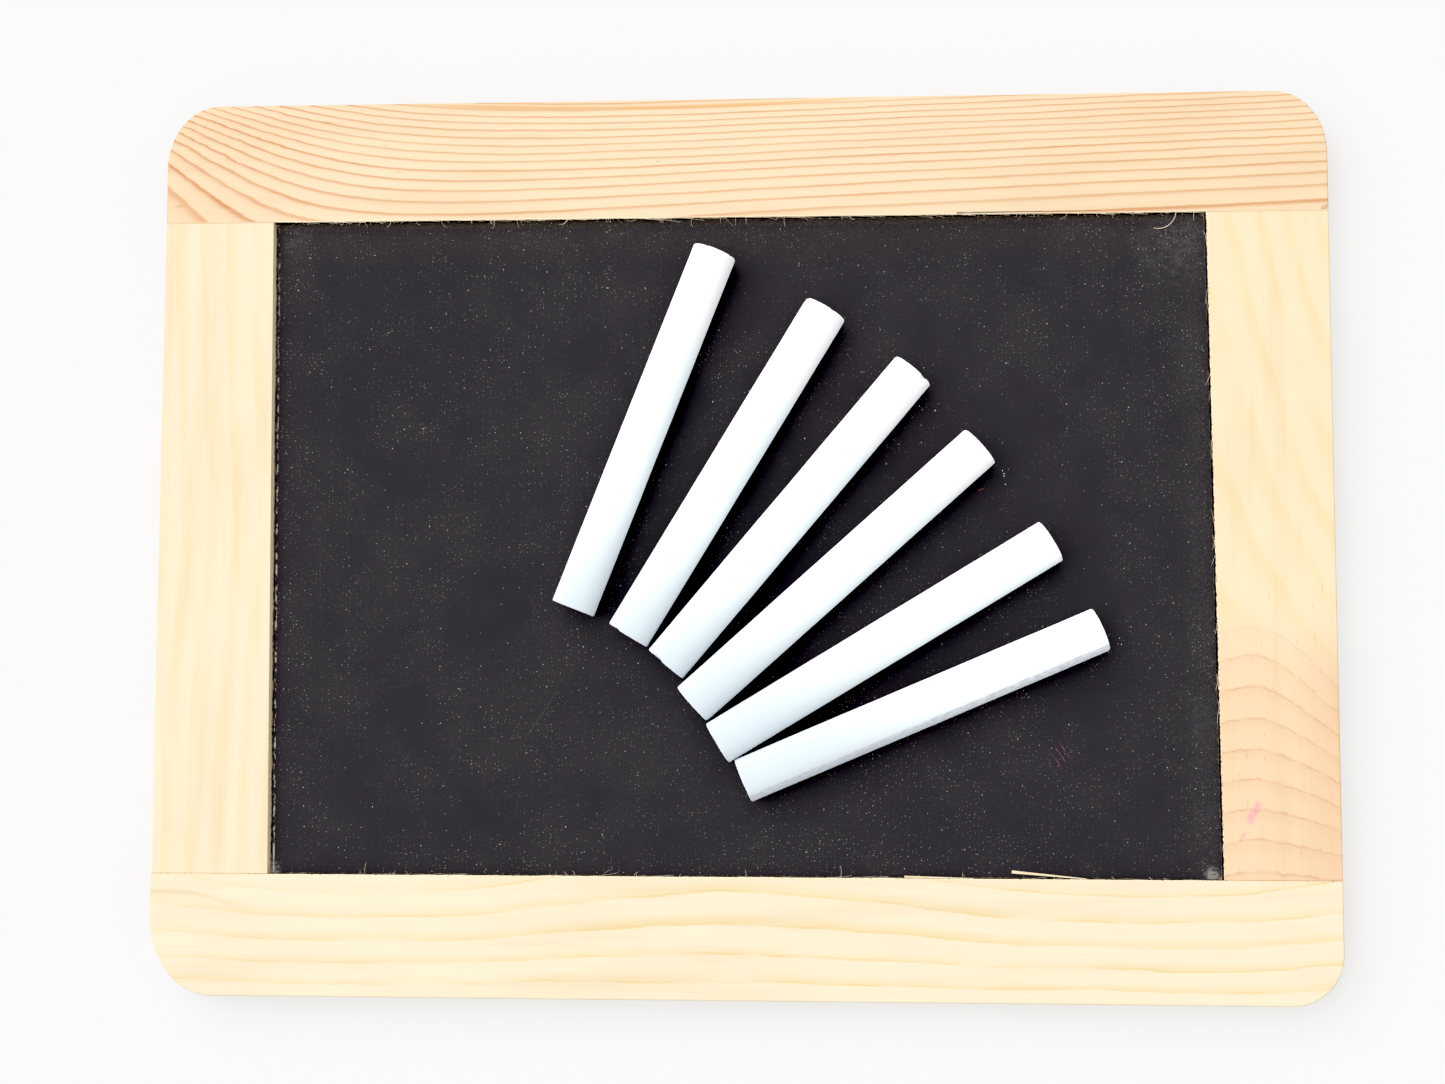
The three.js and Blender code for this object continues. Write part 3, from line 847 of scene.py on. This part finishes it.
# A fibre, sliver or shaving: a small ring pushed on step by step, turning and thinning as it goes
def addStrand(whole, start, turn, length, wide, tall, curl, rise=0.0, steps=6, taper=0.6):
    bm = bmesh.new()
    ring = bmesh.ops.create_circle(bm, segments=fuzz["sides"], radius=1, cap_ends=True)["verts"]
    lie = Matrix.Rotation(turn, 4, "Z") @ Matrix.Rotation(math.pi / 2, 4, "Y")
    bmesh.ops.rotate(bm, verts=ring, cent=(0, 0, 0), matrix=Matrix.Rotation(math.pi / 4, 3, "Z"))
    bmesh.ops.scale(bm, verts=ring, vec=(tall, wide, 1))
    bmesh.ops.transform(bm, verts=ring, matrix=Matrix.Translation(start) @ lie)
    middle, top = Vector(start), [ring[0].link_faces[0]]
    for step in range(steps):
        grown = bmesh.ops.extrude_face_region(bm, geom=top)["geom"]
        way = Vector((math.cos(turn), math.sin(turn), rise)) * length / steps
        bmesh.ops.translate(bm, verts=vertsOf(grown), vec=way)
        middle += way
        bmesh.ops.rotate(bm, verts=vertsOf(grown), cent=middle, matrix=Matrix.Rotation(curl, 3, "Z"))
        thin = 1 - (1 - taper) * (step + 1) / steps
        back = 1 - (1 - taper) * step / steps
        space = Matrix.Translation(-middle)
        bmesh.ops.scale(bm, verts=vertsOf(grown), vec=(thin / back,) * 3, space=space)
        if step:
            bmesh.ops.delete(bm, geom=top, context="FACES_ONLY")
        top = facesOf(grown)
        turn += curl
    putIn(whole, bm)


# torn fibres round the opening: ones lying along the rails and ones standing out from them, most of them on
# the top rail, and a few along the right stile
def makeFuzz(material):
    draw = random.Random(11)
    bm = bmesh.new()
    left, right = innerEdge(-1)(0), innerEdge(1)(0)
    for _ in range(fuzz["lying"]):
        upper = draw.random() < 0.72
        x = draw.uniform(left + mm, right - 6 * mm)
        aside = draw.uniform(-0.05, 0.16) if upper else draw.uniform(-0.05, 0.1)
        y = (topEdge - aside) * mm if upper else (bottomEdge + aside) * mm
        turn = math.radians(draw.gauss(0, 2.0))
        length = draw.uniform(1.5, 6.0) * mm
        addStrand(bm, (x, y, fuzz["top"]), turn, length, fuzz["thick"], fuzz["thick"], draw.gauss(0, 0.02))
    for _ in range(fuzz["standing"]):
        upper = draw.random() < 0.75
        x = draw.uniform(left + mm, right - mm)
        y, way = (topEdge * mm, -90) if upper else (bottomEdge * mm, 90)
        turn = math.radians(way + draw.gauss(0, 38))
        length = min(2.6, draw.expovariate(1.6) + 0.35) * mm
        thick = fuzz["thick"] * draw.uniform(0.6, 1.1)
        addStrand(bm, (x, y, fuzz["top"]), turn, length, thick, thick, draw.gauss(0, 0.22), -0.15)
    for _ in range(fuzz["upright"]):
        y = draw.uniform(bottomEdge, topEdge) * mm
        x = innerEdge(1)(y)
        turn = math.radians(draw.choice((-90, 90)) + draw.gauss(0, 9))
        length = draw.uniform(1.0, 3.5) * mm
        start = (x - 0.05 * mm, y, fuzz["top"])
        addStrand(bm, start, turn, length, fuzz["thick"], fuzz["thick"], draw.gauss(0, 0.03))
    curly = fuzz["curly"]
    start = (curly["start"][0] * mm, curly["start"][1] * mm, fuzz["top"])
    thick = curly["thick"] * mm
    turn, curl = math.radians(curly["turn"]), math.radians(curly["curl"])
    addStrand(bm, start, turn, curly["length"] * mm, thick, thick, curl, -0.1, 8)
    newPiece("edge_fuzz", bm, material, "slate", smooth=60)


# two pale shavings on the bottom rail's edge, and a dark sliver along the top rail's
shavings = (
    {"start": (56.3, -67.8), "end": (71.5, -69.15), "wide": 0.42, "tall": 0.10, "high": 8.25},
    {"start": (34.4, -68.95), "end": (48.5, -69.2), "wide": 0.30, "tall": 0.08, "high": 8.05},
)
sliver = {"start": (46.0, 69.25), "end": (76.0, 69.45), "wide": 0.22, "tall": 0.06, "high": 8.03}


def layStrip(bm, strip, taper):
    start, end = Vector(strip["start"]) * mm, Vector(strip["end"]) * mm
    way = end - start
    at = (start.x, start.y, strip["high"] * mm)
    turn = math.atan2(way.y, way.x)
    fall = (depth - strip["high"] * mm) / way.length
    addStrand(bm, at, turn, way.length, strip["wide"] * mm, strip["tall"] * mm, 0.0, fall, 9, taper)


def makeShavings(paleMaterial, darkMaterial):
    bm = bmesh.new()
    for strip in shavings:
        layStrip(bm, strip, 0.25)
    newPiece("bottom_rail_shavings", bm, paleMaterial, "slate", smooth=30)
    bm = bmesh.new()
    layStrip(bm, sliver, 0.2)
    newPiece("top_rail_sliver", bm, darkMaterial, "slate", smooth=30)


# crumbs of chalk on the board: small clusters by broken ends, and single ones anywhere
crumbs = {
    "clusters": ((55.3, 14.7, 4), (77.8, -21.4, 6), (40.7, 29.1, 2), (-35.0, -13.5, 3)), "loose": 26,
    "least": 0.05 * mm, "most": 0.12 * mm,
}


def makeCrumbs(material):
    draw = random.Random(23)
    low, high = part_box("writing_surface")
    spots = [(draw.uniform(low.x, high.x), draw.uniform(low.y, high.y)) for _ in range(crumbs["loose"])]
    for x, y, count in crumbs["clusters"]:
        spots += [((x + draw.gauss(0, 0.9)) * mm, (y + draw.gauss(0, 0.6)) * mm) for _ in range(count)]
    sticks = [stickLie(f"chalk_stick_{number}") for number in range(1, 7)]
    bm = bmesh.new()
    for x, y in spots:
        radius = draw.uniform(crumbs["least"], crumbs["most"])
        covered = False
        for middle, turn, length, thick in sticks:
            away = Vector((x, y)) - middle.xy
            along = away.x * math.cos(turn) + away.y * math.sin(turn)
            aside = away.x * math.sin(turn) - away.y * math.cos(turn)
            covered = covered or (abs(along) < length / 2 + 0.5 * mm and abs(aside) < thick)
        if covered:
            continue
        crumb = bmesh.new()
        bmesh.ops.create_icosphere(crumb, subdivisions=1, radius=radius)
        for vert in crumb.verts:
            vert.co *= draw.uniform(0.75, 1.2)
        bmesh.ops.translate(crumb, verts=crumb.verts, vec=(x, y, high.z + radius * 0.6))
        putIn(bm, crumb)
    newPiece("chalk_crumbs", bm, material, "slate", smooth=20)


paleFibre = looseFibre("paleFibre", (0.72, 0.62, 0.47), (0.48, 0.39, 0.28))
makeFuzz(paleFibre)
makeShavings(looseFibre("paleShaving", (0.72, 0.62, 0.44), (0.66, 0.53, 0.33)),
             looseFibre("darkSliver", (0.30, 0.23, 0.16), (0.14, 0.11, 0.09)))
makeCrumbs(whiteChalk)
print("loose fibres and crumbs made")


stage = {
    "size": 3.0, "drop": 0.2 * mm, "paper": (0.224, 0.237, 0.280),
    "glow": (1.0, 0.968, 0.886), "glowStrength": 0.629,
}


def makeStage():
    bm = bmesh.new()
    bmesh.ops.create_grid(bm, x_segments=1, y_segments=1, size=stage["size"])
    bmesh.ops.translate(bm, verts=bm.verts, vec=(0, 0, -stage["drop"]))
    mesh = bpy.data.meshes.new("floor")
    bm.to_mesh(mesh)
    bm.free()
    finish = Finish("paperWhite")
    finish.set(Base_Color=stage["paper"], Roughness=0.9, Emission_Color=stage["glow"])
    finish.shader.inputs["Emission Strength"].default_value = stage["glowStrength"]
    finish.shader.inputs["Specular IOR Level"].default_value = 0.1
    mesh.materials.append(finish.material)
    floor = bpy.data.objects.new("floor", mesh)
    bpy.context.scene.collection.objects.link(floor)


camera = {"lens": 51.1, "eye": (0.0220, -0.0343, 0.4342), "aim": (-0.0031, 0.0, 0.008), "roll": 0.125}


def makeCamera():
    data = bpy.data.cameras.new("camera")
    data.lens = camera["lens"]
    data.sensor_width = 36
    data.clip_start = 0.01
    eye = Vector(camera["eye"])
    back = (eye - Vector(camera["aim"])).normalized()
    right = Vector((0, 1, 0)).cross(back).normalized()
    turned = Matrix((right, back.cross(right), back)).transposed().to_4x4()
    roll = Matrix.Rotation(math.radians(camera["roll"]), 4, "Z")
    viewer = bpy.data.objects.new("camera", data)
    viewer.matrix_world = Matrix.Translation(eye) @ turned @ roll
    bpy.context.scene.collection.objects.link(viewer)
    bpy.context.scene.camera = viewer


light = {"toward": (-0.62, 0.43, 1.2), "key": 2.58, "angle": 70, "fill": 0.80, "black": 0.030}


def makeLight():
    sun = bpy.data.lights.new("softKey", "SUN")
    sun.energy = light["key"]
    sun.angle = math.radians(light["angle"])
    sun.color = (1.0, 0.985, 0.965)
    lamp = bpy.data.objects.new("softKey", sun)
    lamp.rotation_euler = Vector(light["toward"]).to_track_quat("Z", "Y").to_euler()
    bpy.context.scene.collection.objects.link(lamp)
    world = bpy.data.worlds.new("studio")
    world.use_nodes = True
    sky = world.node_tree.nodes["Background"]
    sky.inputs["Color"].default_value = (0.97, 0.985, 1.0, 1)
    sky.inputs["Strength"].default_value = light["fill"]
    bpy.context.scene.world = world
    view = bpy.context.scene.view_settings
    view.view_transform = "Standard"
    view.use_curve_mapping = True
    view.curve_mapping.black_level = (light["black"],) * 3
    view.curve_mapping.update()


makeStage()
makeCamera()
makeLight()
print("stage set")
